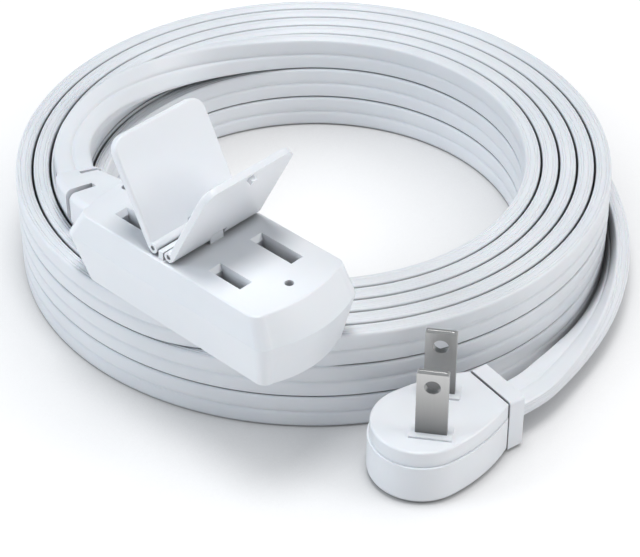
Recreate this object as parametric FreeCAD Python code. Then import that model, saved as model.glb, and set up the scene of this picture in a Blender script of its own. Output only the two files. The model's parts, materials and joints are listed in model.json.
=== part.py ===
"""Indoor two-outlet extension cord, in millimetres.

A flat outlet block with two flip-up covers lies on top of its own coiled flat cord.
One lead crosses the coil to the block's strain relief boot. The other leaves the foot
of the coil and ends in a low side-exit plug that lies on its back with its blades up.

The block is drawn along X with its underside at z = 0, then everything is moved so
that the origin is the middle of the box around the block and its open covers.
"""
import FreeCAD, Part
import math
import os

V = FreeCAD.Vector
Z = V(0, 0, 1)

# ---- flat two-core cord -------------------------------------------------------------
CORD_WIDTH = 8.1
CORD_THICKNESS = 3.8
TUBE_DIAMETER = 6.0          # round tube with about the flat cord's cross-section
TURN_PITCH = 3.96
TURNS_PER_LAYER = 5
LAYERS = 3

# ---- coil, standing on the floor below the block ------------------------------------
COIL_HEIGHT = LAYERS * CORD_WIDTH
COIL_OUTER_RADIUS = 66.9
COIL_INNER_RADIUS = COIL_OUTER_RADIUS - TURNS_PER_LAYER * TURN_PITCH
COIL_CENTRE = V(-24.7, 55.2, 0)

# ---- outlet block -------------------------------------------------------------------
BLOCK_HEIGHT = 17.6
PARTING_HEIGHT = 11.2
WALL = 1.8
FLOOR_THICKNESS = 1.5
TOP_THICKNESS = 2.2
BASE_OUTLINE = dict(left=-25.9, right=26.4, half_width=11.5, bulge=1.9, corner=2.6)
PARTING_OUTLINE = dict(left=-29.4, right=28.5, half_width=13.6, bulge=2.3, corner=2.8)
TOP_OUTLINE = dict(left=-25.4, right=25.7, half_width=12.6, bulge=1.5, corner=2.5)
LIP_DEPTH = 1.2
LIP_THICKNESS = 0.9
LIP_CLEARANCE = 0.1
EDGE_ROUND = 0.5

# ---- outlets ------------------------------------------------------------------------
HINGE_MIDDLE_X = -1.45
OUTLET_OFFSET = 13.63
OUTLET_XS = (HINGE_MIDDLE_X - OUTLET_OFFSET, HINGE_MIDDLE_X + OUTLET_OFFSET)
BLADE_SPACING = 12.7
NARROW_SLOT = 7.0
WIDE_SLOT = 9.8
SLOT_WIDTH = 2.4
SLOT_LEAD_IN = 0.9
SLOT_LEAD_IN_DEPTH = 1.1
GUIDE_WALL = 0.9
GUIDE_DEPTH = 3.0

# ---- covers and hinge ---------------------------------------------------------------
HINGE_HALF_GAP = 2.25
HINGE_HEIGHT = BLOCK_HEIGHT + 1.65
BARREL_RADIUS = 1.15
PIN_RADIUS = 0.5
PIN_CLEARANCE = 0.05
COVER_LENGTH = 22.9
COVER_HALF_WIDTH = 12.0
COVER_THICKNESS = 1.6
COVER_LIFT = 0.35
COVER_CORNER = 3.2
COVER_NOTCH = 1.9
COVER_OPEN_ANGLE = 62.0
LUG_HALF_LENGTH = 1.8
LUG_GAP = 0.2
PIP_DISTANCE = 21.2
PIP_SIZE = 1.2
PIP_LENGTH = 1.1
PIP_HOLE_RADIUS = 0.95
PIP_HOLE_DEPTH = 1.6

# ---- contacts -----------------------------------------------------------------------
STRIP_THICKNESS = 0.8
STRIP_WIDTH = 5.0
STRIP_Z = 2.4
CLIP_WIDTH = 6.0
CLIP_ARM = ((2.3, 2.8), (2.2, 6.4), (0.95, 10.4), (1.7, 12.2))
CLIP_THICKNESS = 0.6
CRIMP_RADIUS = 1.35
CRIMP_BORE = 0.85
CRIMP_LENGTH = 4.0
CRIMP_X = -5.5
RIB_HALF_THICKNESS = 0.6
RIB_TOP = 10.6
BOSS_RADIUS = 2.3
SCREW_RADIUS = 1.2
SCREW_HEAD_RADIUS = 2.4
SCREW_HEAD_HEIGHT = 1.3
SCREW_XS = (HINGE_MIDDLE_X, 21.0)
CONDUCTOR_DIAMETER = 2.2

# ---- strain relief boot -------------------------------------------------------------
# centre, heading in degrees, width and height of each section, from block to cord
BOOT_SECTIONS = (
    (V(-25.0, 0.0, 8.6), 0.0, 14.0, 9.0),
    (V(-31.5, 0.7, 8.2), -9.0, 13.4, 8.6),
    (V(-38.0, 2.2, 7.0), -16.0, 12.4, 7.8),
    (V(-44.0, 4.4, 5.6), -23.0, 11.2, 6.6),
    (V(-49.1, 7.0, 4.2), -28.0, 10.0, 5.6),
)
FLANGE_GROWTH = 1.4
FLEX_SLOTS = ((2, 0.0, -1), (3, 0.5, 1))      # section, share towards the next, side
FLEX_SLOT_WIDTH = 2.4

# ---- plug ---------------------------------------------------------------------------
PLUG_CENTRE = V(46.4, 16.3, -COIL_HEIGHT)    # on the floor, midway between the blades
PLUG_HEADING = 79.0                          # direction of the cord's exit
BLADE_TURN = -45.0                           # blades are set skew to the exit
PLUG_HEIGHT = 13.3
FACE_THICKNESS = 3.7
PLUG_WALL = 1.6
PLUG_REAR = -14.3
PLUG_FRONT = 13.7
PLUG_HALF_WIDTH = 10.8
PLUG_NECK_HALF_WIDTH = 6.5
FACE_INSET = 0.5
NECK_INSET = 0.2
FACE_ROUND = 0.5
COLLAR_GAP = 0.35
COLLAR_LENGTH = 3.8
COLLAR_HALF_WIDTH = 6.5
COLLAR_FOOT = 0.3
CORD_ENTRY_HEIGHT = 6.6
BLADE_WIDTH = 6.35
BLADE_THICKNESS = 1.5
BLADE_LENGTH = 16.0
BLADE_HOLE_RADIUS = 1.6
BLADE_HOLE_HEIGHT = 12.3
PAD_LENGTH = 8.6
PAD_WIDTH = 4.2
PAD_HEIGHT = 0.5
CARRIER_THICKNESS = 2.4
CARRIER_RADIUS = 7.5
CRIMP_HEIGHT = 5.4

# ---- routes of the leads between their square ends, in the block's frame --------------
LEAD_TO_BLOCK = (
    V(-66.5, 20.1, 3.5),
    V(-75.3, 34.3, 3.2),
    V(-79.2, 51.2, 3.2),
    V(-77.6, 68.3, 3.2),
    V(-70.6, 83.3, 3.2),
    V(-62.5, 93.0, 3.2),
)
LEAD_TO_PLUG = (
    V(4.3, 120.3, -20.2),
    V(23.9, 107.3, -20.2),
    V(38.6, 88.9, -20.2),
    V(47.6, 69.5, -19.8),
    V(51.5, 54.0, -18.6),
)
RAMP_LENGTH = 18.0           # where the lead rises onto the coil
TAIL_ANGLE = 24.0            # turn over which the other lead leaves the coil's foot
TAIL_INSIDE = ((0.3, 60.0), (0.9, 60.0))
TAIL_OUTSIDE = ((1.0, 0.0), (0.75, 0.2), (0.5, 0.5), (0.25, 0.8))
ARC_SHARE = 0.45
END_RUN = 8.1                # straight run of cord outside the boot and outside the collar


# ---- small helpers ------------------------------------------------------------------
def box(low, high):
    """Box between two opposite corners."""
    size = high - low
    return Part.makeBox(size.x, size.y, size.z, low)


def rod(start, end, radius):
    """Cylinder between two points."""
    return Part.makeCylinder(radius, (end - start).Length, start, end - start)


def heading_vector(degrees):
    """Unit vector in the XY plane."""
    angle = math.radians(degrees)
    return V(math.cos(angle), math.sin(angle), 0)


def fuse_all(shapes):
    """One solid from touching shapes."""
    return shapes[0].multiFuse(shapes[1:]).removeSplitter()


def corner_arc(start, centre, end):
    """Quarter arc that bulges away from its centre."""
    outward = (start + end) * 0.5 - centre
    radius = ((start - centre).Length + (end - centre).Length) / 2
    middle = centre + outward.normalize() * radius
    return Part.Arc(start, middle, end).toShape()


# ---- the outlet block's outlines ----------------------------------------------------
def blend_outlines(low, high, share):
    """Outline part of the way from one level to another."""
    return {key: low[key] + (high[key] - low[key]) * share for key in low}


def outline_wire(outline, z, inset=0.0):
    """Rounded rectangle whose two ends bow outward."""
    left, right = outline["left"] + inset, outline["right"] - inset
    side = outline["half_width"] - inset
    corner = max(outline["corner"] - inset, 0.6)
    bulge = outline["bulge"]
    inner = side - corner
    p = [V(left + corner, -side, z), V(right - corner, -side, z), V(right, -inner, z),
         V(right, inner, z), V(right - corner, side, z), V(left + corner, side, z),
         V(left, inner, z), V(left, -inner, z)]
    edges = [
        Part.makeLine(p[0], p[1]),
        corner_arc(p[1], V(right - corner, -inner, z), p[2]),
        Part.Arc(p[2], V(right + bulge, 0, z), p[3]).toShape(),
        corner_arc(p[3], V(right - corner, inner, z), p[4]),
        Part.makeLine(p[4], p[5]),
        corner_arc(p[5], V(left + corner, inner, z), p[6]),
        Part.Arc(p[6], V(left - bulge, 0, z), p[7]).toShape(),
        corner_arc(p[7], V(left + corner, -inner, z), p[0]),
    ]
    return Part.Wire(edges)


def tapered_solid(low, high, z_low, z_high, inset=0.0):
    """Solid between two outlines at two heights."""
    wires = [outline_wire(low, z_low, inset), outline_wire(high, z_high, inset)]
    return Part.makeLoft(wires, True, True)


def edges_at_height(shape, z):
    """Edges that lie flat at one height."""
    flat = []
    for edge in shape.Edges:
        bounds = edge.BoundBox
        if abs(bounds.ZMin - z) < 1e-4 and abs(bounds.ZMax - z) < 1e-4:
            flat.append(edge)
    return flat


def cavity_solid():
    """The space inside the two shells."""
    floor_share = FLOOR_THICKNESS / PARTING_HEIGHT
    floor_outline = blend_outlines(BASE_OUTLINE, PARTING_OUTLINE, floor_share)
    ceiling = BLOCK_HEIGHT - TOP_THICKNESS
    ceiling_share = (ceiling - PARTING_HEIGHT) / (BLOCK_HEIGHT - PARTING_HEIGHT)
    ceiling_outline = blend_outlines(PARTING_OUTLINE, TOP_OUTLINE, ceiling_share)
    lower = tapered_solid(floor_outline, PARTING_OUTLINE, FLOOR_THICKNESS, PARTING_HEIGHT, WALL)
    upper = tapered_solid(PARTING_OUTLINE, ceiling_outline, PARTING_HEIGHT, ceiling, WALL)
    return lower, upper


# ---- strain relief boot and the cord end inside it ----------------------------------
def section_wire(centre, heading, width, height, corner):
    """Rounded rectangle standing across a heading."""
    across = V(0, 0, 1).cross(heading_vector(heading))
    w, h, c = width / 2, height / 2, corner
    bend = c * (1 - math.sqrt(0.5))

    def at(a, b):
        return centre + across * a + Z * b

    corners = ((1, -1), (1, 1), (-1, 1), (-1, -1))
    edges = []
    for index, (sa, sb) in enumerate(corners):
        first, last = at(sa * (w - c), sb * h), at(sa * w, sb * (h - c))
        if index % 2 == 1:
            first, last = last, first
        middle = at(sa * (w - bend), sb * (h - bend))
        edges.append(Part.Arc(first, middle, last).toShape())
        na, nb = corners[(index + 1) % 4]
        if index % 2 == 0:
            nxt = at(na * w, nb * (h - c))
        else:
            nxt = at(na * (w - c), nb * h)
        edges.append(Part.makeLine(last, nxt))
    return Part.Wire(edges)


def boot_loft(grow=0.0):
    """The boot's outside."""
    wires = [section_wire(c, a, w + grow, h + grow, 1.6) for c, a, w, h in BOOT_SECTIONS]
    return Part.makeLoft(wires, True, False)


def cord_loft():
    """The flat cord from inside the block to the boot's rear face."""
    wires = [section_wire(c, a, CORD_WIDTH, CORD_THICKNESS, CORD_THICKNESS / 2 - 0.1)
             for c, a, _, _ in BOOT_SECTIONS]
    return Part.makeLoft(wires, True, False)


def boot_flange():
    """Flange that the two shells trap behind their left end wall."""
    centre, _, width, height = BOOT_SECTIONS[0]
    half = V(0, (width + FLANGE_GROWTH) / 2, (height + FLANGE_GROWTH) / 2)
    block = box(centre - half - V(8, 0, 0), centre + half)
    lower, upper = cavity_solid()
    return block.common(fuse_all([lower, upper]))


def flex_slot_cutter(section, share, side):
    """Slot across one half of the boot that leaves the cord's sheath whole."""
    c0, a0, w0, h0 = BOOT_SECTIONS[section]
    c1, a1, _, _ = BOOT_SECTIONS[min(section + 1, len(BOOT_SECTIONS) - 1)]
    centre = c0 + (c1 - c0) * share
    heading = a0 + (a1 - a0) * share
    block = box(V(-FLEX_SLOT_WIDTH / 2, 0, -h0), V(FLEX_SLOT_WIDTH / 2, w0, h0))
    core = box(V(-w0, -w0, -CORD_THICKNESS / 2 - 0.2),
               V(w0, CORD_WIDTH / 2 + 0.2, CORD_THICKNESS / 2 + 0.2))
    cutter = block.cut(core)
    if side < 0:
        cutter.rotate(V(0, 0, 0), V(1, 0, 0), 180)
    cutter.rotate(V(0, 0, 0), Z, heading)
    cutter.translate(centre)
    return cutter


def strain_relief_boot():
    boot = fuse_all([boot_loft(), boot_flange()])
    boot = boot.cut(cord_loft())
    for section, share, side in FLEX_SLOTS:
        boot = boot.cut(flex_slot_cutter(section, share, side))
    return boot


# ---- shells -------------------------------------------------------------------------
def lower_shell():
    shell = tapered_solid(BASE_OUTLINE, PARTING_OUTLINE, 0, PARTING_HEIGHT)
    shell = shell.makeFillet(2 * EDGE_ROUND, edges_at_height(shell, 0))
    shell = shell.cut(cavity_solid()[0])
    inside = [shell]
    for x in SCREW_XS:
        inside.append(rod(V(x, 0, FLOOR_THICKNESS - 0.5), V(x, 0, PARTING_HEIGHT), BOSS_RADIUS))
    rib_left, rib_right = OUTLET_XS[0] - 6, SCREW_XS[1]
    inside.append(box(V(rib_left, -RIB_HALF_THICKNESS, FLOOR_THICKNESS - 0.5),
                      V(rib_right, RIB_HALF_THICKNESS, RIB_TOP)))
    shell = fuse_all(inside)
    for x in SCREW_XS:
        shell = shell.cut(rod(V(x, 0, -1), V(x, 0, BLOCK_HEIGHT), SCREW_RADIUS))
        shell = shell.cut(rod(V(x, 0, -1), V(x, 0, SCREW_HEAD_HEIGHT), SCREW_HEAD_RADIUS))
    return shell.cut(boot_loft())


def slot_box(x, y, length, grow, z_low, z_high):
    """Upright block with a slot's outline."""
    half = V(length / 2 + grow, SLOT_WIDTH / 2 + grow, 0)
    return box(V(x, y, z_low) - half, V(x, y, z_high) + half)


def slot_lead_in(x, y, length):
    """Bevel at a slot's mouth."""
    z_low, z_high = BLOCK_HEIGHT - SLOT_LEAD_IN_DEPTH, BLOCK_HEIGHT + 0.01
    wires = []
    for z, grow in ((z_low, 0.0), (z_high, SLOT_LEAD_IN)):
        a, b = length / 2 + grow, SLOT_WIDTH / 2 + grow / 2
        wires.append(Part.makePolygon([V(x - a, y - b, z), V(x + a, y - b, z), V(x + a, y + b, z),
                                       V(x - a, y + b, z), V(x - a, y - b, z)]))
    return Part.makeLoft(wires, True, True)


def slots():
    """Place and length of every slot: the narrow one is hot, the wide one is neutral."""
    for x in OUTLET_XS:
        yield x, -BLADE_SPACING / 2, NARROW_SLOT
        yield x, BLADE_SPACING / 2, WIDE_SLOT


def hinge_rail():
    """Low web between the covers with one lug in its middle that carries both pins."""
    web = box(V(HINGE_MIDDLE_X - 0.6, -COVER_HALF_WIDTH, BLOCK_HEIGHT - 0.3),
              V(HINGE_MIDDLE_X + 0.6, COVER_HALF_WIDTH, BLOCK_HEIGHT + 1.9))
    reach = HINGE_HALF_GAP + BARREL_RADIUS
    lug = box(V(HINGE_MIDDLE_X - reach, -LUG_HALF_LENGTH, BLOCK_HEIGHT - 0.3),
              V(HINGE_MIDDLE_X + reach, LUG_HALF_LENGTH, HINGE_HEIGHT))
    pieces = [web, lug]
    for hinge in (-1, 1):
        x = HINGE_MIDDLE_X + hinge * HINGE_HALF_GAP
        pieces.append(rod(V(x, -LUG_HALF_LENGTH, HINGE_HEIGHT), V(x, LUG_HALF_LENGTH, HINGE_HEIGHT),
                          BARREL_RADIUS))
    return pieces


def upper_shell():
    shell = tapered_solid(PARTING_OUTLINE, TOP_OUTLINE, PARTING_HEIGHT, BLOCK_HEIGHT)
    shell = shell.makeFillet(EDGE_ROUND, edges_at_height(shell, BLOCK_HEIGHT))
    shell = shell.cut(cavity_solid()[1])
    ceiling = BLOCK_HEIGHT - TOP_THICKNESS
    lip_inset = WALL + LIP_CLEARANCE
    lip = tapered_solid(PARTING_OUTLINE, PARTING_OUTLINE, PARTING_HEIGHT - LIP_DEPTH,
                        PARTING_HEIGHT + 0.4, lip_inset + 0.4)
    lip = lip.cut(tapered_solid(PARTING_OUTLINE, PARTING_OUTLINE, PARTING_HEIGHT - LIP_DEPTH - 1,
                                PARTING_HEIGHT + 1, lip_inset + 0.4 + LIP_THICKNESS))
    bridge = tapered_solid(PARTING_OUTLINE, PARTING_OUTLINE, PARTING_HEIGHT,
                           PARTING_HEIGHT + 0.4, WALL - 0.3)
    bridge = bridge.cut(tapered_solid(PARTING_OUTLINE, PARTING_OUTLINE, PARTING_HEIGHT - 1,
                                      PARTING_HEIGHT + 1, lip_inset + 0.4 + LIP_THICKNESS))
    pieces = [shell, lip, bridge] + hinge_rail()
    for x in SCREW_XS:
        pieces.append(rod(V(x, 0, PARTING_HEIGHT), V(x, 0, ceiling + 0.5), BOSS_RADIUS))
    for x, y, length in slots():
        pieces.append(slot_box(x, y, length, GUIDE_WALL, ceiling - GUIDE_DEPTH, ceiling + 0.5))
    shell = fuse_all(pieces)
    for x, y, length in slots():
        shell = shell.cut(slot_box(x, y, length, 0, 0, BLOCK_HEIGHT + 1))
        shell = shell.cut(slot_lead_in(x, y, length))
    screw_top = ceiling - 0.8
    for x in SCREW_XS:
        shell = shell.cut(rod(V(x, 0, 0), V(x, 0, screw_top), SCREW_RADIUS))
    for side in (-1, 1):
        hinge_x = HINGE_MIDDLE_X + side * HINGE_HALF_GAP
        shell = shell.cut(rod(V(hinge_x, -COVER_HALF_WIDTH - 1, HINGE_HEIGHT),
                              V(hinge_x, COVER_HALF_WIDTH + 1, HINGE_HEIGHT), PIN_RADIUS))
        pip_x = hinge_x + side * PIP_DISTANCE
        shell = shell.cut(rod(V(pip_x, 0, BLOCK_HEIGHT - PIP_HOLE_DEPTH),
                              V(pip_x, 0, BLOCK_HEIGHT + 1), PIP_HOLE_RADIUS))
    return shell.cut(fuse_all([boot_loft(), boot_flange()]))


# ---- covers and pins ----------------------------------------------------------------
def hinge_axis_point(side):
    return V(HINGE_MIDDLE_X + side * HINGE_HALF_GAP, 0, HINGE_HEIGHT)


def cover(side):
    """Cover drawn shut on the +X side, turned to its side and then opened."""
    notch_half = LUG_HALF_LENGTH + LUG_GAP
    bottom = COVER_LIFT + BLOCK_HEIGHT - HINGE_HEIGHT
    top = bottom + COVER_THICKNESS
    plate = box(V(0, -COVER_HALF_WIDTH, bottom), V(COVER_LENGTH, COVER_HALF_WIDTH, top))
    tip_edges = []
    for edge in plate.Edges:
        bounds = edge.BoundBox
        if bounds.XMin > COVER_LENGTH - 0.01 and bounds.ZLength > 1:
            tip_edges.append(edge)
    plate = plate.makeFillet(COVER_CORNER, tip_edges)
    rim = [edge for edge in edges_at_height(plate, top) if edge.BoundBox.XMax > 0.1]
    plate = plate.makeFillet(EDGE_ROUND, rim)
    barrel = rod(V(0, -COVER_HALF_WIDTH, 0), V(0, COVER_HALF_WIDTH, 0), BARREL_RADIUS)
    notch = box(V(-2, -notch_half, bottom - 1), V(COVER_NOTCH, notch_half, top + 1))
    pip = box(V(PIP_DISTANCE - PIP_SIZE / 2, -PIP_SIZE / 2, bottom - PIP_LENGTH),
              V(PIP_DISTANCE + PIP_SIZE / 2, PIP_SIZE / 2, bottom + 0.2))
    shape = fuse_all([plate, barrel, pip]).cut(notch)
    shape = shape.cut(rod(V(0, -30, 0), V(0, 30, 0), PIN_RADIUS + PIN_CLEARANCE))
    if side < 0:
        shape.rotate(V(0, 0, 0), Z, 180)
    shape.rotate(V(0, 0, 0), V(0, -side, 0), COVER_OPEN_ANGLE)
    shape.translate(hinge_axis_point(side))
    return shape


def hinge_pin(side):
    reach = V(0, COVER_HALF_WIDTH - 0.3, 0)
    return rod(hinge_axis_point(side) - reach, hinge_axis_point(side) + reach, PIN_RADIUS)


# ---- contacts, conductors and screws inside the block -------------------------------
def bent_strip(points, thickness, x, width):
    """Flat spring bent through points in the YZ plane."""
    half = thickness / 2
    left, right = [], []
    for index, (y, z) in enumerate(points):
        before = points[max(index - 1, 0)]
        after = points[min(index + 1, len(points) - 1)]
        length = math.hypot(after[0] - before[0], after[1] - before[1])
        ny, nz = -(after[1] - before[1]) / length, (after[0] - before[0]) / length
        left.append(V(x, y + ny * half, z + nz * half))
        right.append(V(x, y - ny * half, z - nz * half))
    loop = left + right[::-1] + [left[0]]
    return Part.Face(Part.makePolygon(loop)).extrude(V(width, 0, 0))


def bus(side):
    """Brass strip with a spring clip under each outlet and a crimp barrel between them."""
    y = side * BLADE_SPACING / 2
    pieces = [box(V(OUTLET_XS[0] - 3.6, y - STRIP_WIDTH / 2, STRIP_Z),
                  V(OUTLET_XS[1] + 3.6, y + STRIP_WIDTH / 2, STRIP_Z + STRIP_THICKNESS))]
    for x in OUTLET_XS:
        for arm in (-1, 1):
            points = [(y + arm * dy, z) for dy, z in CLIP_ARM]
            pieces.append(bent_strip(points, CLIP_THICKNESS, x - CLIP_WIDTH / 2, CLIP_WIDTH))
    crimp_z = STRIP_Z + STRIP_THICKNESS + CRIMP_RADIUS - 0.2
    pieces.append(rod(V(CRIMP_X, y, crimp_z), V(CRIMP_X + CRIMP_LENGTH, y, crimp_z), CRIMP_RADIUS))
    shape = fuse_all(pieces)
    return shape.cut(rod(V(CRIMP_X - 1, y, crimp_z), V(CRIMP_X + CRIMP_LENGTH - 0.5, y, crimp_z),
                         CRIMP_BORE))


def route_wire(points, label=None):
    """Straight runs joined by tangent arcs as large as the runs allow."""
    edges = []
    cursor = points[0]
    for index in range(1, len(points) - 1):
        corner = points[index]
        inward = (points[index - 1] - corner)
        outward = (points[index + 1] - corner)
        reach = ARC_SHARE * min(inward.Length, outward.Length)
        turn = math.pi - inward.getAngle(outward)
        radius = reach / math.tan(turn / 2)
        inward.normalize()
        outward.normalize()
        start, end = corner + inward * reach, corner + outward * reach
        bisector = (inward + outward).normalize()
        depth = radius / math.cos(turn / 2) - radius
        if (start - cursor).Length > 1e-6:
            edges.append(Part.makeLine(cursor, start))
        edges.append(Part.Arc(start, corner + bisector * depth, end).toShape())
        cursor = end
        if label:
            print(label, "turn", round(math.degrees(turn), 1), "radius", round(radius, 1))
    edges.append(Part.makeLine(cursor, points[-1]))
    return Part.Wire(edges)


def block_lead_route():
    """From the boot's rear face along the top of the coil."""
    rear, heading = BOOT_SECTIONS[-1][0], BOOT_SECTIONS[-1][1]
    return (rear, rear - heading_vector(heading) * END_RUN) + LEAD_TO_BLOCK


def plug_lead_route():
    """From the coil's foot to the face of the plug's collar."""
    reach = PLUG_FRONT + COLLAR_GAP + COLLAR_LENGTH
    end = PLUG_CENTRE + heading_vector(PLUG_HEADING) * reach + Z * CORD_ENTRY_HEIGHT
    return LEAD_TO_PLUG + (end + heading_vector(PLUG_HEADING) * END_RUN, end)


def tube(points, diameter, label=None):
    """Round tube along a route, with its volume checked against section times length."""
    wire = route_wire(points, label)
    start = points[1] - points[0]
    circle = Part.Wire(Part.makeCircle(diameter / 2, points[0], start))
    solid = wire.makePipeShell([circle], True, True)
    if label:
        expected = math.pi * diameter ** 2 / 4 * wire.Length
        print(label, "length", round(wire.Length, 1), "volume ratio",
              round(solid.Volume / expected, 4))
    return solid


def conductor(points, core_end):
    """Insulated conductor with its bare end in the crimp barrel."""
    sheath = tube(points, CONDUCTOR_DIAMETER)
    inward = (core_end - points[-1]).normalize()
    core = rod(points[-1] - inward * 0.6, core_end, CRIMP_BORE)
    return fuse_all([sheath, core])


def block_conductor(side):
    y = side * BLADE_SPACING / 2
    crimp_z = STRIP_Z + STRIP_THICKNESS + CRIMP_RADIUS - 0.2
    entry = BOOT_SECTIONS[0][0]
    points = [entry + V(0, side * 2.1, 0), entry + V(5.5, side * 2.1, 0), V(-12.0, side * 2.1, 6.8),
              V(CRIMP_X - 1.8, y, crimp_z), V(CRIMP_X, y, crimp_z)]
    return conductor(points, V(CRIMP_X + 3.2, y, crimp_z))


def case_screws():
    """Two self-tapping screws driven from below."""
    top = BLOCK_HEIGHT - TOP_THICKNESS - 1.4
    screws = []
    for x in SCREW_XS:
        head = rod(V(x, 0, 0.2), V(x, 0, SCREW_HEAD_HEIGHT), SCREW_HEAD_RADIUS - 0.2)
        slot_a = box(V(x - 1.4, -0.25, 0), V(x + 1.4, 0.25, 0.9))
        slot_b = box(V(x - 0.25, -1.4, 0), V(x + 0.25, 1.4, 0.9))
        shank = rod(V(x, 0, SCREW_HEAD_HEIGHT - 0.2), V(x, 0, top), SCREW_RADIUS)
        screws.append(fuse_all([head, shank]).cut(slot_a).cut(slot_b))
    return Part.makeCompound(screws)


# ---- cord ---------------------------------------------------------------------------
def ramp_prism(end, direction):
    """Rise on top of the coil that the lead to the block comes out of."""
    across = V(0, 0, 1).cross(direction)
    half = TUBE_DIAMETER / 2 + 0.3
    low, high = end.z - half + 0.1, end.z + half
    foot = V(end.x, end.y, -0.5)
    corners = [foot, foot + direction * RAMP_LENGTH, foot + direction * 4 + Z * (high + 0.5),
               foot + Z * (high + 0.5), foot]
    face = Part.Face(Part.makePolygon([c - across * half for c in corners]))
    return face.extrude(across * 2 * half)


def tail_prism(end, direction):
    """Outermost turn where it leaves the coil's foot for the plug."""
    across = V(0, 0, 1).cross(direction)
    half = TUBE_DIAMETER / 2 + 0.3
    base = COIL_CENTRE - Z * COIL_HEIGHT
    floor = V(end.x, end.y, -COIL_HEIGHT)
    from_centre = floor - base
    outward = across if across.dot(from_centre) > 0 else across * -1
    azimuth = math.degrees(math.atan2(from_centre.y, from_centre.x))
    outer = floor + outward * half
    reach = (outer - base).Length
    corners = [outer, floor - outward * half]
    for share, radius in TAIL_INSIDE:
        corners.append(base + heading_vector(azimuth + share * TAIL_ANGLE) * radius)
    for share, rise in TAIL_OUTSIDE:
        radius = COIL_OUTER_RADIUS - 0.4 + (reach - COIL_OUTER_RADIUS) * rise
        corners.append(base + heading_vector(azimuth + share * TAIL_ANGLE) * radius)
    corners.append(outer)
    return Part.Face(Part.makePolygon(corners)).extrude(V(0, 0, CORD_WIDTH))


def cord_coil():
    """Outer shape of all the turns, with the places where the two leads part from it."""
    base = COIL_CENTRE - V(0, 0, COIL_HEIGHT)
    ring = Part.makeCylinder(COIL_OUTER_RADIUS, COIL_HEIGHT, base)
    hole = Part.makeCylinder(COIL_INNER_RADIUS, COIL_HEIGHT, base)
    rise = (LEAD_TO_BLOCK[-1] - LEAD_TO_BLOCK[-2]).normalize()
    leave = (LEAD_TO_PLUG[0] - LEAD_TO_PLUG[1]).normalize()
    ramp = ramp_prism(LEAD_TO_BLOCK[-1], rise)
    tail = tail_prism(LEAD_TO_PLUG[0], leave)
    return fuse_all([ring.cut(hole), ramp, tail])


# ---- plug, drawn with the cord's exit along +X and its back at z = 0 ------------------
def plug_outline(z, inset, neck_inset):
    """Round back whose sides run tangent into a narrower square neck."""
    wide = PLUG_HALF_WIDTH - inset
    neck = PLUG_NECK_HALF_WIDTH - neck_inset
    shoulder = PLUG_REAR + PLUG_HALF_WIDTH
    front = PLUG_FRONT - (PLUG_WALL if neck_inset >= PLUG_WALL else 0)
    length, drop = front - shoulder, wide - neck
    radius = (length ** 2 + drop ** 2) / (2 * drop)
    middle_x = shoulder + length / 2
    middle_y = wide - radius + math.sqrt(radius ** 2 - length ** 2 / 4)
    p = [V(shoulder, -wide, z), V(front, -neck, z), V(front, neck, z), V(shoulder, wide, z)]
    edges = [
        Part.Arc(p[0], V(middle_x, -middle_y, z), p[1]).toShape(),
        Part.makeLine(p[1], p[2]),
        Part.Arc(p[2], V(middle_x, middle_y, z), p[3]).toShape(),
        Part.Arc(p[3], V(PLUG_REAR + inset, 0, z), p[0]).toShape(),
    ]
    return Part.Face(Part.Wire(edges))


def place_plug(shape):
    shape.rotate(V(0, 0, 0), Z, PLUG_HEADING)
    shape.translate(PLUG_CENTRE)
    return shape


def cord_end_in_plug():
    """Flat cord end that runs through the collar into the plug."""
    half = V(0, CORD_WIDTH / 2, CORD_THICKNESS / 2)
    start = V(PLUG_FRONT - WALL, 0, CORD_ENTRY_HEIGHT)
    end = V(PLUG_FRONT + COLLAR_GAP + COLLAR_LENGTH, 0, CORD_ENTRY_HEIGHT)
    flat = box(start - half, end + half)
    long_edges = [edge for edge in flat.Edges if edge.BoundBox.XLength > 1]
    return flat.makeFillet(CORD_THICKNESS / 2 - 0.1, long_edges)


def plug_collar():
    start, end = PLUG_FRONT + COLLAR_GAP, PLUG_FRONT + COLLAR_GAP + COLLAR_LENGTH
    body = box(V(start, -COLLAR_HALF_WIDTH, COLLAR_FOOT), V(end, COLLAR_HALF_WIDTH, PLUG_HEIGHT))
    body = body.makeFillet(0.8, [e for e in body.Edges if e.BoundBox.XLength > 1])
    neck = box(V(PLUG_FRONT - WALL, -5.2, 3.0), V(start + 0.2, 5.2, 9.4))
    return fuse_all([body, neck]).cut(cord_end_in_plug())


def plug_body():
    parting = PLUG_HEIGHT - FACE_THICKNESS
    body = plug_outline(0, 0, 0).extrude(V(0, 0, parting))
    body = body.makeFillet(1.8, edges_at_height(body, 0))
    body = body.cut(plug_outline(PLUG_WALL, PLUG_WALL, PLUG_WALL).extrude(V(0, 0, parting)))
    return body.cut(fuse_all([plug_collar(), cord_end_in_plug()]))


def blade_places():
    """Centre and direction of each blade in the plug's own frame."""
    across = heading_vector(BLADE_TURN + 90)
    along = heading_vector(BLADE_TURN)
    half = across * (BLADE_SPACING / 2)
    return {"hot": (half * -1, along), "neutral": (half, along)}


def blade_block(centre, along, length, width, z_low, z_high):
    """Upright block turned to a blade's direction."""
    block = box(V(-length / 2, -width / 2, z_low), V(length / 2, width / 2, z_high))
    block.rotate(V(0, 0, 0), Z, math.degrees(math.atan2(along.y, along.x)))
    block.translate(centre)
    return block


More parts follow.
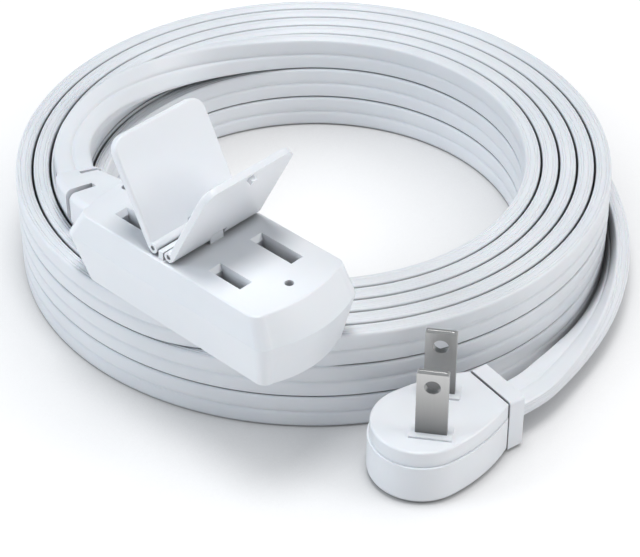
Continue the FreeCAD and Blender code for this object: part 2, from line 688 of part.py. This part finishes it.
def plug_face():
    parting = PLUG_HEIGHT - FACE_THICKNESS
    face = plug_outline(parting, FACE_INSET, NECK_INSET).extrude(V(0, 0, FACE_THICKNESS))
    face = face.makeFillet(FACE_ROUND, edges_at_height(face, PLUG_HEIGHT))
    pieces = [face]
    for centre, along in blade_places().values():
        pad_top = PLUG_HEIGHT + PAD_HEIGHT
        pieces.append(blade_block(centre, along, PAD_LENGTH, PAD_WIDTH, PLUG_HEIGHT - 0.3, pad_top))
    face = fuse_all(pieces)
    for centre, along in blade_places().values():
        face = face.cut(blade_block(centre, along, BLADE_WIDTH, BLADE_THICKNESS, 0, 40))
    return face


def blade_carrier():
    """Insulating disc under the face that holds both blades."""
    parting = PLUG_HEIGHT - FACE_THICKNESS
    disc = rod(V(-1.0, 0, parting - CARRIER_THICKNESS), V(-1.0, 0, parting), CARRIER_RADIUS)
    for centre, along in blade_places().values():
        disc = disc.cut(blade_block(centre, along, BLADE_WIDTH, BLADE_THICKNESS, 0, 40))
    return disc


def plug_crimp(name):
    """Axis of a blade's crimp barrel: where it starts and where its mouth is."""
    centre, _ = blade_places()[name]
    start = V(centre.x, centre.y, CRIMP_HEIGHT)
    length = 4.6 if name == "hot" else 2.8
    return start, start + V(length, 0, 0)


def blade(name):
    centre, along = blade_places()[name]
    tip = PLUG_HEIGHT + BLADE_LENGTH
    plate = blade_block(centre, along, BLADE_WIDTH, BLADE_THICKNESS, 3.4, tip)
    tip_edges = [edge for edge in edges_at_height(plate, tip)]
    plate = plate.makeChamfer(0.45, tip_edges)
    across = V(0, 0, 1).cross(along)
    hole_centre = centre + Z * (PLUG_HEIGHT + BLADE_HOLE_HEIGHT)
    plate = plate.cut(rod(hole_centre - across * 5, hole_centre + across * 5, BLADE_HOLE_RADIUS))
    start, mouth = plug_crimp(name)
    barrel = rod(start, mouth, CRIMP_RADIUS)
    bore = rod(mouth - V(1.8, 0, 0), mouth + V(1, 0, 0), CRIMP_BORE)
    return fuse_all([plate, barrel]).cut(bore)


def plug_conductor(name, side):
    _, mouth = plug_crimp(name)
    entry = V(PLUG_FRONT - WALL, side * 2.1, CORD_ENTRY_HEIGHT)
    lead = 2.5 if name == "hot" else 1.4
    points = [entry, entry - V(lead, 0, 0), mouth + V(lead, 0, 0), mouth]
    return conductor(points, mouth - V(1.4, 0, 0))


# ---- every node, then one move to the origin ------------------------------------------
def build_nodes():
    block = {
        "upper_shell": upper_shell(),
        "lower_shell": lower_shell(),
        "left_cover": cover(-1),
        "right_cover": cover(1),
        "left_hinge_pin": hinge_pin(-1),
        "right_hinge_pin": hinge_pin(1),
        "hot_bus": bus(-1),
        "neutral_bus": bus(1),
        "block_hot_conductor": block_conductor(-1),
        "block_neutral_conductor": block_conductor(1),
        "case_screws": case_screws(),
        "strain_relief_boot": strain_relief_boot(),
        "cord_end_in_boot": cord_loft(),
    }
    plug = {
        "plug_collar": plug_collar(),
        "plug_body": plug_body(),
        "plug_face": plug_face(),
        "blade_carrier": blade_carrier(),
        "hot_blade": blade("hot"),
        "neutral_blade": blade("neutral"),
        "cord_end_in_plug": cord_end_in_plug(),
        "plug_hot_conductor": plug_conductor("hot", -1),
        "plug_neutral_conductor": plug_conductor("neutral", 1),
    }
    cord = {
        "cord_coil": cord_coil(),
        "cord_lead_to_block": tube(block_lead_route(), TUBE_DIAMETER, "lead to block"),
        "cord_lead_to_plug": tube(plug_lead_route(), TUBE_DIAMETER, "lead to plug"),
    }
    for shape in plug.values():
        place_plug(shape)
    return block, plug, cord


def origin_shift(block):
    """From the origin to the middle of the block's box with its covers open."""
    bounds = Part.makeCompound(list(block.values())).optimalBoundingBox(False, False)
    return bounds.Center * -1


def main():
    os.makedirs("parts", exist_ok=True)
    block, plug, cord = build_nodes()
    shift = origin_shift(block)
    print("origin shift", [round(value, 3) for value in shift])
    for side, name in ((-1, "left"), (1, "right")):
        print(name, "hinge axis at", [round(value, 3) for value in hinge_axis_point(side) + shift])
    print("plug back at", [round(value, 3) for value in PLUG_CENTRE + shift])
    for name, shape in {**block, **plug, **cord}.items():
        shape.translate(shift)
        volume = round(shape.Volume, 1)
        print(name, "valid", shape.isValid(), "solids", len(shape.Solids), "volume", volume)
        shape.exportStep("parts/" + name + ".step")


main()
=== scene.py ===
"""Looks of the coiled extension cord, its outlet block and its plug, around the CAD frame."""
import json
import math

import bmesh
import bpy
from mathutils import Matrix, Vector


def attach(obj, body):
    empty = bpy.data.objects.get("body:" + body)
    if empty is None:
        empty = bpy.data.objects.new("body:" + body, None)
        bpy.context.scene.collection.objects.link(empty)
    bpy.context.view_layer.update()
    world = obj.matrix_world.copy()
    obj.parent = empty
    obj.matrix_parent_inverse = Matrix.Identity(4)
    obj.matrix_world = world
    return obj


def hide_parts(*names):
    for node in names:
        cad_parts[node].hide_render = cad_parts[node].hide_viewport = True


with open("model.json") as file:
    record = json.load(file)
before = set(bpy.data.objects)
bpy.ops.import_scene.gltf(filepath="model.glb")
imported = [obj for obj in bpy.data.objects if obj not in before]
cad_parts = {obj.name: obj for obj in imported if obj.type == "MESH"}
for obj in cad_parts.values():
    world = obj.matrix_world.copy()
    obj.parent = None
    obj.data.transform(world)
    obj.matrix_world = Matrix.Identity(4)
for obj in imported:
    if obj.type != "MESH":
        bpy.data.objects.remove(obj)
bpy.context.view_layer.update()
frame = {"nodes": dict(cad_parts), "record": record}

MM = 0.001                   # the sizes below are in millimetres, Blender's are in metres
UP = Vector((0, 0, 1))

# The outlet block is drawn in its own frame; this moves it to the frame that all parts share.
BLOCK_SHIFT = Vector((10.324, 0.0, -19.717))
FLOOR_Z = -44.017
COIL_MIDDLE = Vector((-14.376, 55.2, FLOOR_Z))
COIL_TURN = 44.068           # degrees from the shared frame's X axis to the coil's own
CORD_WIDTH = 8.1
TURN_PITCH = 3.96
RING_RADII = [64.9 - TURN_PITCH * ring for ring in range(5)]
LAYER_HEIGHTS = [CORD_WIDTH * (layer + 0.5) for layer in range(3)]
CONTROL_STEP = 15.0          # degrees between the control points of a turn
SPLINE_PULL = 0.99146        # a turn's radius as a share of its control points' radius
BOOT_RUN, COLLAR_RUN = 5.0, 7.0     # straight runs of cord out of the boot and the collar
SIDE_OFFSET = 10.0           # from the cord's route to the second line that shows its width


# ---- small helpers --------------------------------------------------------------------
def heading(degrees):
    """Level unit vector at an angle of the shared frame."""
    turned = math.radians(degrees)
    return Vector((math.cos(turned), math.sin(turned), 0))


def radial(angle):
    """Unit vector from the coil's middle at an angle of the coil's own frame."""
    return heading(angle + COIL_TURN)


def coil_point(angle, radius, height):
    return COIL_MIDDLE + radial(angle) * radius + UP * height


def leaning(angle, lean):
    """Direction of the cord's width: 0 stands on edge, 90 lies flat with its top edge outward."""
    lean = math.radians(lean)
    return UP * math.cos(lean) + radial(angle) * math.sin(lean)


def block_point(x, y, z):
    return Vector((x, y, z)) + BLOCK_SHIFT


def link(obj):
    bpy.context.scene.collection.objects.link(obj)
    return obj


def new_mesh_object(name, vertices, faces):
    mesh = bpy.data.meshes.new(name)
    mesh.from_pydata([tuple(v) for v in vertices], [], faces)
    mesh.update()
    mesh.shade_smooth()
    return link(bpy.data.objects.new(name, mesh))


def spline_points(points):
    """The points that the NURBS spline over these control points (in mm) passes, in metres."""
    curve = bpy.data.curves.new("route", "CURVE")
    curve.dimensions = "3D"
    curve.resolution_u = 6
    spline = curve.splines.new("NURBS")
    spline.points.add(len(points) - 1)
    for target, point in zip(spline.points, points):
        target.co = (*(point * MM), 1.0)
    spline.order_u = 3
    spline.use_endpoint_u = True
    obj = link(bpy.data.objects.new("route", curve))
    mesh = bpy.data.meshes.new_from_object(obj)
    found = [v.co.copy() for v in mesh.vertices]
    bpy.data.objects.remove(obj)
    bpy.data.meshes.remove(mesh)
    bpy.data.curves.remove(curve)
    return found


# ---- camera ---------------------------------------------------------------------------
camera_data = bpy.data.cameras.new("camera")
camera_data.sensor_width = 36.0
camera_data.lens = 122.058
camera_data.clip_start = 0.01
camera_data.clip_end = 20.0
camera = link(bpy.data.objects.new("camera", camera_data))
camera.location = (0.267316, -0.235808, 0.252966)
camera.rotation_euler = [math.radians(a) for a in (52.65259, 0.07835, 43.81658)]
bpy.context.scene.camera = camera


# ---- the cord's route -----------------------------------------------------------------
# Where the cord steps to its next place: the angle, and the ring and layer that it steps to.
STEPS = [(391.0, 0, 1), (732.0, 1, 1), (790.0, 1, 0), (1130.0, 2, 0), (1460.0, 3, 0),
         (1792.0, 4, 0), (2112.5, 4, 1), (2444.0, 3, 1), (2790.0, 2, 1), (3080.0, 1, 1),
         (3142.0, 0, 2), (3492.0, 1, 2), (3852.0, 2, 2), (4212.0, 3, 2), (4572.0, 4, 2)]
COIL_START, COIL_END = 66.0, 4768.0

# The lead to the plug: angle, radius, height and lean, from the collar to the coil's foot.
PLUG_LEAD = [(-49.0, 75.0, 5.9, 84), (-42.0, 73.1, 5.0, 70), (-34.0, 71.9, 4.5, 53),
             (-25.0, 70.9, 4.5, 38), (-14.0, 69.9, 4.45, 24), (-2.0, 69.3, 4.3, 12),
             (11.0, 69.1, 4.2, 4), (25.0, 69.1, 4.1, 0), (39.0, 68.9, 4.1, 0),
             (53.0, 66.9, 4.1, 0)]
# The band from the top's inside to the boot, rolling from its edge onto its flat side.
BAND = [(101.0, 49.5, 20.3, 2), (115.0, 49.6, 20.9, 12), (129.0, 49.9, 22.0, 26),
        (143.0, 50.6, 23.4, 44), (157.0, 51.8, 25.0, 62), (170.0, 52.9, 26.1, 76),
        (182.0, 54.0, 26.9, 86)]
BOOT_REAR, BOOT_HEADING = block_point(-49.1, 7.0, 4.2), -28.0
COLLAR_END, COLLAR_HEADING = Vector((60.130, 33.822, FLOOR_Z + 6.6)), 79.0


def coil_turns():
    """Control points of the wound turns, from the foot's outside to the top's inside."""
    ring, layer, angle = 0, 0, COIL_START
    found = []
    for stop, next_ring, next_layer in STEPS + [(COIL_END + CONTROL_STEP / 2, None, None)]:
        last = stop - CONTROL_STEP / 2
        count = max(1, round((last - angle) / CONTROL_STEP))
        for i in range(count + 1):
            at = angle + (last - angle) * i / count
            found.append((at, RING_RADII[ring] / SPLINE_PULL, LAYER_HEIGHTS[layer], 0.0))
        ring, layer, angle = next_ring, next_layer, stop + CONTROL_STEP / 2
    return found


def flat_width(way, place):
    """Level direction across the cord where it lies flat, away from the coil's middle."""
    wide = UP.cross(way)
    if wide.dot(place - COIL_MIDDLE) < 0:
        wide.negate()
    return wide


def cord_route():
    """Control points of the whole cord, and the direction of its width at each."""
    boot_way, collar_way = heading(BOOT_HEADING), heading(COLLAR_HEADING)
    boot_wide = flat_width(boot_way, BOOT_REAR)
    collar_wide = flat_width(collar_way, COLLAR_END)
    points = [BOOT_REAR, BOOT_REAR - boot_way * BOOT_RUN]
    wide = [boot_wide, boot_wide]
    for angle, radius, height, lean in reversed(PLUG_LEAD + coil_turns() + BAND):
        points.append(coil_point(angle, radius, height))
        wide.append(leaning(angle, lean))
    points += [COLLAR_END + collar_way * COLLAR_RUN, COLLAR_END]
    wide += [collar_wide, collar_wide]
    return points, wide


def cord_profile():
    """Flat cord's outline: across its thickness x and its width y, ribbed at both edges."""
    quarter = [(0.0, 4.0), (0.3, 4.02), (0.44, 3.98), (0.54, 3.82), (0.64, 3.98), (0.8, 4.02),
               (1.0, 3.97), (1.1, 3.78), (1.2, 3.93), (1.36, 3.9), (1.5, 3.82), (1.62, 3.68),
               (1.7, 3.5), (1.74, 3.25), (1.76, 2.8), (1.79, 2.1), (1.79, 1.3), (1.76, 0.62),
               (1.68, 0.36), (1.52, 0.14), (1.48, 0.0)]
    right = quarter + [(x, -y) for x, y in reversed(quarter[:-1])]
    return right + [(-x, y) for x, y in reversed(right[1:-1])]


def sweep(name, centres, wides, profile):
    """Closed tube of the profile along the points, turned so that its width follows wides."""
    vertices, faces = [], []
    count, size = len(centres), len(profile)
    for i, centre in enumerate(centres):
        ahead = centres[min(i + 1, count - 1)] - centres[max(i - 1, 0)]
        ahead.normalize()
        wide = wides[i] - ahead * wides[i].dot(ahead)
        wide.normalize()
        thin = wide.cross(ahead)
        for x, y in profile:
            vertices.append(centre + thin * (x * MM) + wide * (y * MM))
    for i in range(count - 1):
        for j in range(size):
            a, b = i * size + j, i * size + (j + 1) % size
            faces.append((a, b, b + size, a + size))
    faces.append(tuple(reversed(range(size))))
    faces.append(tuple(range((count - 1) * size, count * size)))
    return new_mesh_object(name, vertices, faces)


route, route_wide = cord_route()
centreline = spline_points(route)
offset_line = spline_points([p + w * SIDE_OFFSET for p, w in zip(route, route_wide)])
cord_wides = [b - a for a, b in zip(centreline, offset_line)]
cord = sweep("flat_cord", centreline, cord_wides, cord_profile())


# ---- materials ------------------------------------------------------------------------
OPENNESS_SAMPLES = 12        # rays that tell how open a point lies
MOTTLE_SCALE = 45.0          # scales count per metre
ROLLED_SCALE = 6.0
STREAK_STRETCH = 0.08        # scale along a streak as a share of the scale across it
PAINTED_SHADE_REACH = 4.0           # how near another surface makes the painted shade that darkens the plastic in gaps
PAINTED_SHADE_OPENNESS = (0.1, 0.6)   # openness where the painted shade is full, and where it ends
PAINTED_SHADE_LEFT = 0.35          # share of the colour that is left where the painted shade is full
MOULDED_DEPTH, ROLLED_DEPTH = 0.1, 0.02     # depths of the grain


class Recipe:
    """A material's node tree, with the steps that the finishes share."""

    def __init__(self, name):
        self.material = bpy.data.materials.new(name)
        self.material.use_nodes = True
        self.nodes = self.material.node_tree.nodes
        self.links = self.material.node_tree.links
        self.shader = self.nodes["Principled BSDF"]

    def place(self):
        return self.nodes.new("ShaderNodeTexCoord").outputs["Object"]

    def noise(self, vector, scale, detail):
        node = self.nodes.new("ShaderNodeTexNoise")
        node.inputs["Scale"].default_value = scale
        node.inputs["Detail"].default_value = detail
        self.links.new(vector, node.inputs["Vector"])
        return node.outputs["Fac"]

    def openness(self, reach):
        """1 where a point lies open, towards 0 where other surfaces are within reach."""
        node = self.nodes.new("ShaderNodeAmbientOcclusion")
        node.samples = OPENNESS_SAMPLES
        node.inputs["Distance"].default_value = reach
        return node.outputs["AO"]

    def ranged(self, value, from_range, to_range):
        node = self.nodes.new("ShaderNodeMapRange")
        for socket, number in zip(("From Min", "From Max", "To Min", "To Max"),
                                  (*from_range, *to_range)):
            node.inputs[socket].default_value = number
        self.links.new(value, node.inputs["Value"])
        return node.outputs["Result"]

    def tinted(self, factor, dark, light, band):
        """Colour that goes from dark to light while the factor crosses the band."""
        node = self.nodes.new("ShaderNodeValToRGB")
        for element, colour, position in zip(node.color_ramp.elements, (dark, light), band):
            element.position = position
            element.color = (*colour, 1)
        self.links.new(factor, node.inputs["Fac"])
        return node.outputs["Color"]

    def multiplied(self, colour, amount):
        node = self.nodes.new("ShaderNodeMix")
        node.data_type = "RGBA"
        node.blend_type = "MULTIPLY"
        node.inputs["Factor"].default_value = 1.0
        self.links.new(colour, node.inputs["A"])
        self.links.new(amount, node.inputs["B"])
        return node.outputs["Result"]

    def uneven_gloss(self, factor, least, most):
        self.links.new(self.ranged(factor, (0.0, 1.0), (least, most)),
                       self.shader.inputs["Roughness"])

    def bumps(self, height, strength, depth):
        node = self.nodes.new("ShaderNodeBump")
        node.inputs["Strength"].default_value = strength
        node.inputs["Distance"].default_value = depth
        self.links.new(height, node.inputs["Height"])
        self.links.new(node.outputs["Normal"], self.shader.inputs["Normal"])


def moulded(name, colour, shade, roughness, grain, grain_size, coat=0.0, subsurface=0.0):
    """Plastic with faint mottling, a fine moulded grain and uneven gloss, and painted shade that
    darkens its colour in gaps and recesses.
    """
    recipe = Recipe(name)
    where = recipe.place()
    cloud = recipe.noise(where, MOTTLE_SCALE, 3.0)
    mottled = recipe.tinted(cloud, shade, colour, (0.35, 0.65))
    # Painted shade: the colour is darkened where other surfaces lie near, in the gaps between the
    # cord's turns, in slots and in recesses.
    painted_hollow_shade = recipe.ranged(recipe.openness(PAINTED_SHADE_REACH * MM), PAINTED_SHADE_OPENNESS,
                            (PAINTED_SHADE_LEFT, 1.0))
    shader = recipe.shader
    recipe.links.new(recipe.multiplied(mottled, painted_hollow_shade), shader.inputs["Base Color"])
    recipe.uneven_gloss(cloud, roughness * 0.85, roughness * 1.15)
    recipe.bumps(recipe.noise(where, grain_size, 4.0), grain, MOULDED_DEPTH * MM)
    shader.inputs["Coat Weight"].default_value = coat
    shader.inputs["Coat Roughness"].default_value = 0.15
    shader.inputs["Subsurface Weight"].default_value = subsurface
    shader.inputs["Subsurface Scale"].default_value = 2.0 * MM
    shader.inputs["IOR"].default_value = 1.48
    return recipe.material


def metal(name, colour, dark, roughness, streaks, painted_reflection=None):
    """Rolled metal with fine streaks. Its last argument, where given, is a low and a high level
    and the share of its
    brightness that is left at the low one: a painted reflection that darkens the colour towards
    the low level."""
    recipe = Recipe(name)
    where = recipe.place()
    stretch = recipe.nodes.new("ShaderNodeMapping")
    stretch.inputs["Scale"].default_value = (streaks, streaks, streaks * STREAK_STRETCH)
    recipe.links.new(where, stretch.inputs["Vector"])
    grain = recipe.noise(stretch.outputs["Vector"], ROLLED_SCALE, 5.0)
    surface_colour = recipe.tinted(grain, dark, colour, (0.3, 0.7))
    if painted_reflection:
        low, high, least = painted_reflection
        # Painted reflection: the colour goes from dark at the low level to full at the high one,
        # standing in for a reflection of darker surroundings.
        split = recipe.nodes.new("ShaderNodeSeparateXYZ")
        recipe.links.new(where, split.inputs["Vector"])
        height = recipe.ranged(split.outputs["Z"], (low * MM, high * MM), (least, 1.0))
        surface_colour = recipe.multiplied(surface_colour, height)
    recipe.links.new(surface_colour, recipe.shader.inputs["Base Color"])
    recipe.uneven_gloss(grain, roughness * 0.8, roughness * 1.3)
    recipe.bumps(grain, 0.03, ROLLED_DEPTH * MM)
    recipe.shader.inputs["Metallic"].default_value = 0.85
    return recipe.material


# Levels between which the blades' painted reflection goes from dark at the foot to bright at the
# tip.
BLADE_FOOT, BLADE_TIP = FLOOR_Z + 12.5, FLOOR_Z + 29.3
FINISH = {
    "white_plastic": moulded("white_plastic", (0.82, 0.835, 0.86), (0.79, 0.81, 0.84),
                             0.36, 0.12, 2600.0, coat=0.15, subsurface=0.05),
    "white_vinyl": moulded("white_vinyl", (0.82, 0.835, 0.86), (0.78, 0.80, 0.835),
                           0.45, 0.16, 1800.0, subsurface=0.08),
    "white_cord": moulded("white_cord", (0.79, 0.808, 0.835), (0.75, 0.77, 0.80),
                          0.42, 0.18, 1500.0, coat=0.08, subsurface=0.08),
    # The nickel blades carry a painted reflection, darker towards their foot.
    "nickel_plate": metal("nickel_plate", (0.58, 0.575, 0.565), (0.555, 0.55, 0.54),
                          0.34, 420.0, painted_reflection=(BLADE_FOOT, BLADE_TIP, 0.28)),
    "brass": metal("brass", (0.78, 0.6, 0.3), (0.62, 0.45, 0.2), 0.28, 700.0),
    "steel": metal("steel", (0.6, 0.61, 0.62), (0.42, 0.43, 0.44), 0.32, 700.0),
    "carrier_plastic": moulded("carrier_plastic", (0.5, 0.51, 0.53), (0.42, 0.43, 0.45),
                               0.5, 0.2, 1600.0),
    "hot_insulation": moulded("hot_insulation", (0.03, 0.03, 0.032), (0.02, 0.02, 0.022),
                              0.42, 0.15, 1500.0),
    "neutral_insulation": moulded("neutral_insulation", (0.75, 0.75, 0.74), (0.68, 0.68, 0.67),
                                  0.42, 0.15, 1500.0),
}


def finish_with(obj, slot_name):
    obj.data.materials.clear()
    obj.data.materials.append(FINISH[slot_name])


node_slots = {row["node"]: row["material_slot"] for row in frame["record"]["subparts"]}
for node_name, obj in frame["nodes"].items():
    finish_with(obj, node_slots[node_name])


# ---- pieces that stand for CAD nodes --------------------------------------------------
SHARP_TURN = math.radians(32)     # a steeper turn between two faces is rounded
FLAT_TURN = math.radians(0.6)     # faces that turn less than this become one
WELD_DISTANCE = 0.002             # millimetres
ROUND_STEPS = 3


def softened(node_name, body, width):
    """Replace a CAD node by a copy with its sharp edges rounded by a width in millimetres."""
    source = frame["nodes"][node_name]
    work = bmesh.new()
    work.from_mesh(source.data)
    bmesh.ops.remove_doubles(work, verts=work.verts, dist=WELD_DISTANCE * MM)
    bmesh.ops.dissolve_limit(work, angle_limit=FLAT_TURN, verts=work.verts, edges=work.edges)
    sharp = [e for e in work.edges
             if len(e.link_faces) == 2 and e.calc_face_angle(0.0) > SHARP_TURN]
    bmesh.ops.bevel(work, geom=sharp, offset=width * MM, offset_type="OFFSET",
                    segments=ROUND_STEPS, profile=0.5, affect="EDGES", clamp_overlap=True)
    mesh = bpy.data.meshes.new(node_name + "_moulding")
    work.to_mesh(mesh)
    work.free()
    mesh.shade_smooth()
    piece = link(bpy.data.objects.new(node_name + "_moulding", mesh))
    weighted = piece.modifiers.new("even shading", "WEIGHTED_NORMAL")
    weighted.keep_sharp = True
    finish_with(piece, node_slots[node_name])
    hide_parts(node_name)
    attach(piece, body)


for soft_node, soft_body, soft_width in (
        ("lower_shell", "block", 0.5), ("upper_shell", "block", 0.35),
        ("left_cover", "left_cover", 0.3), ("right_cover", "right_cover", 0.3),
        ("strain_relief_boot", "block", 0.35),
        ("plug_body", "block", 0.4), ("plug_face", "block", 0.3), ("plug_collar", "block", 0.4),
        ("hot_blade", "block", 0.12), ("neutral_blade", "block", 0.12)):
    softened(soft_node, soft_body, soft_width)

finish_with(cord, "white_cord")
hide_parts("cord_coil", "cord_lead_to_block", "cord_lead_to_plug")
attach(cord, "block")


# ---- floor and light ------------------------------------------------------------------
FLOOR_REACH = 4.0                 # metres from the middle to each side
FLOOR_LEVEL = (FLOOR_Z - 0.05) * MM
SHADOW_REACH = 50.0               # how near the object takes the floor's own light away
FLOOR_OPENNESS = (0.25, 1.0)      # openness where the floor's own light is least and most
FLOOR_GLOW = (0.05, 0.64)         # that light at its least and its most

floor = new_mesh_object("studio_floor", [
    Vector((x * FLOOR_REACH, y * FLOOR_REACH, FLOOR_LEVEL))
    for x, y in ((-1, -1), (1, -1), (1, 1), (-1, 1))], [(0, 1, 2, 3)])
# The floor gives some light of its own, and less of it close to the object.
floor_recipe = Recipe("studio_floor")
floor_shader = floor_recipe.shader
floor_shader.inputs["Base Color"].default_value = (0.46, 0.46, 0.465, 1)
floor_shader.inputs["Roughness"].default_value = 0.6
floor_shader.inputs["Emission Color"].default_value = (1.0, 1.0, 1.0, 1)
floor_glow = floor_recipe.ranged(floor_recipe.openness(SHADOW_REACH * MM), FLOOR_OPENNESS,
                                 FLOOR_GLOW)
floor_recipe.links.new(floor_glow, floor_shader.inputs["Emission Strength"])
floor.data.materials.append(floor_recipe.material)

world = bpy.data.worlds.new("studio")
bpy.context.scene.world = world
world.use_nodes = True
sky = world.node_tree.nodes["Background"]
sky.inputs["Color"].default_value = (0.86, 0.93, 1.0, 1)
sky.inputs["Strength"].default_value = 0.22
bpy.context.scene.view_settings.view_transform = "Standard"

LAMP_TARGET = Vector((0.0, 0.03, -0.03))


def area_light(name, location, size, power, colour=(1, 1, 1)):
    """Round lamp that points at the lamps' target."""
    data = bpy.data.lights.new(name, "AREA")
    data.shape = "DISK"
    data.size = size
    data.energy = power
    data.color = colour
    lamp = link(bpy.data.objects.new(name, data))
    lamp.location = location
    way = LAMP_TARGET - Vector(location)
    lamp.rotation_euler = way.to_track_quat("-Z", "Y").to_euler()


area_light("top", (0.03, 0.0, 0.9), 0.35, 5.2)
area_light("left", (-0.46, -0.6, 0.44), 0.4, 3.0, (0.82, 0.91, 1.0))
area_light("right", (0.66, 0.42, 0.42), 0.4, 2.2)
